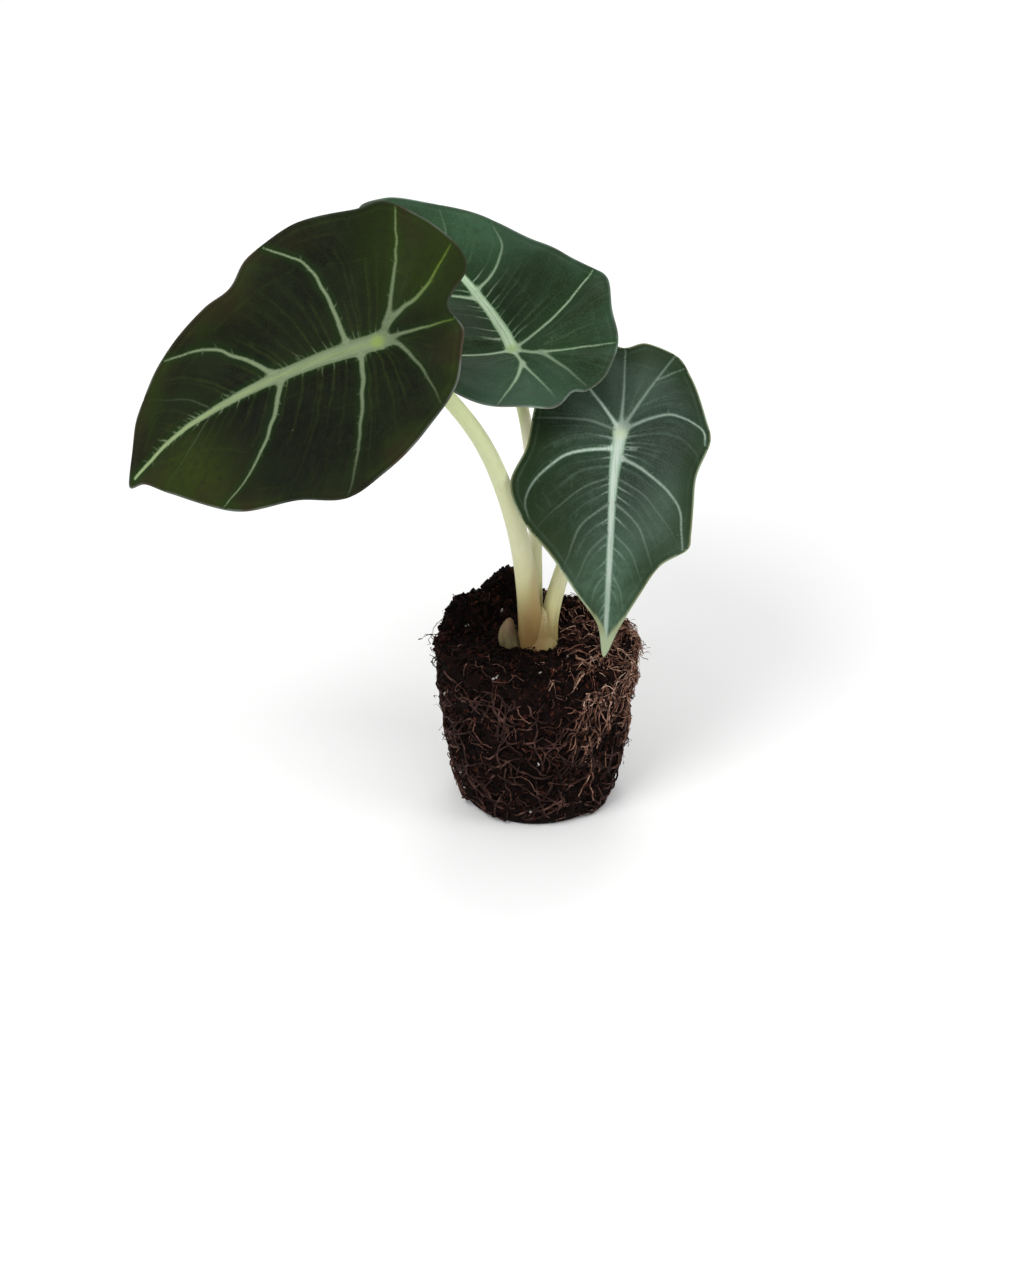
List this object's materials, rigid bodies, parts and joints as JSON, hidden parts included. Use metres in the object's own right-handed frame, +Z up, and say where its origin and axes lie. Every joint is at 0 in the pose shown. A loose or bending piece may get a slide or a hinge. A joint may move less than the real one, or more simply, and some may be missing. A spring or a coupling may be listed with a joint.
{
  "type": "young alocasia black velvet plant in its bare root plug",
  "caption": "Young houseplant standing in its bare root plug: broad dark velvety blades with pale veins on slender petioles over a tapered, root-bound block of growing medium.",
  "frame": {"origin": "centre of the root plug's flat bottom", "axes": "+Z up along the plug and the stems; -Y is the plant's front, which its right leaf hangs towards; the left leaf points along -X"},
  "size_m": [0.1348, 0.1103, 0.1546],
  "materials": {
    "growing_medium": "matt, crumbly, moist dark peat and coir netted by tan roots",
    "corm": "satin, pale brown-green skin",
    "petiole": "satin, cream-green, slightly translucent",
    "blade": "velvety dark green above with pale veins, paler and satin below"
  },
  "bodies": {
    "root": {"root_plug": "growing_medium", "corm": "corm", "petiole_left": "petiole", "petiole_back": "petiole", "petiole_right": "petiole", "blade_left": "blade", "blade_back": "blade", "blade_right": "blade"}
  },
  "joints": []
}
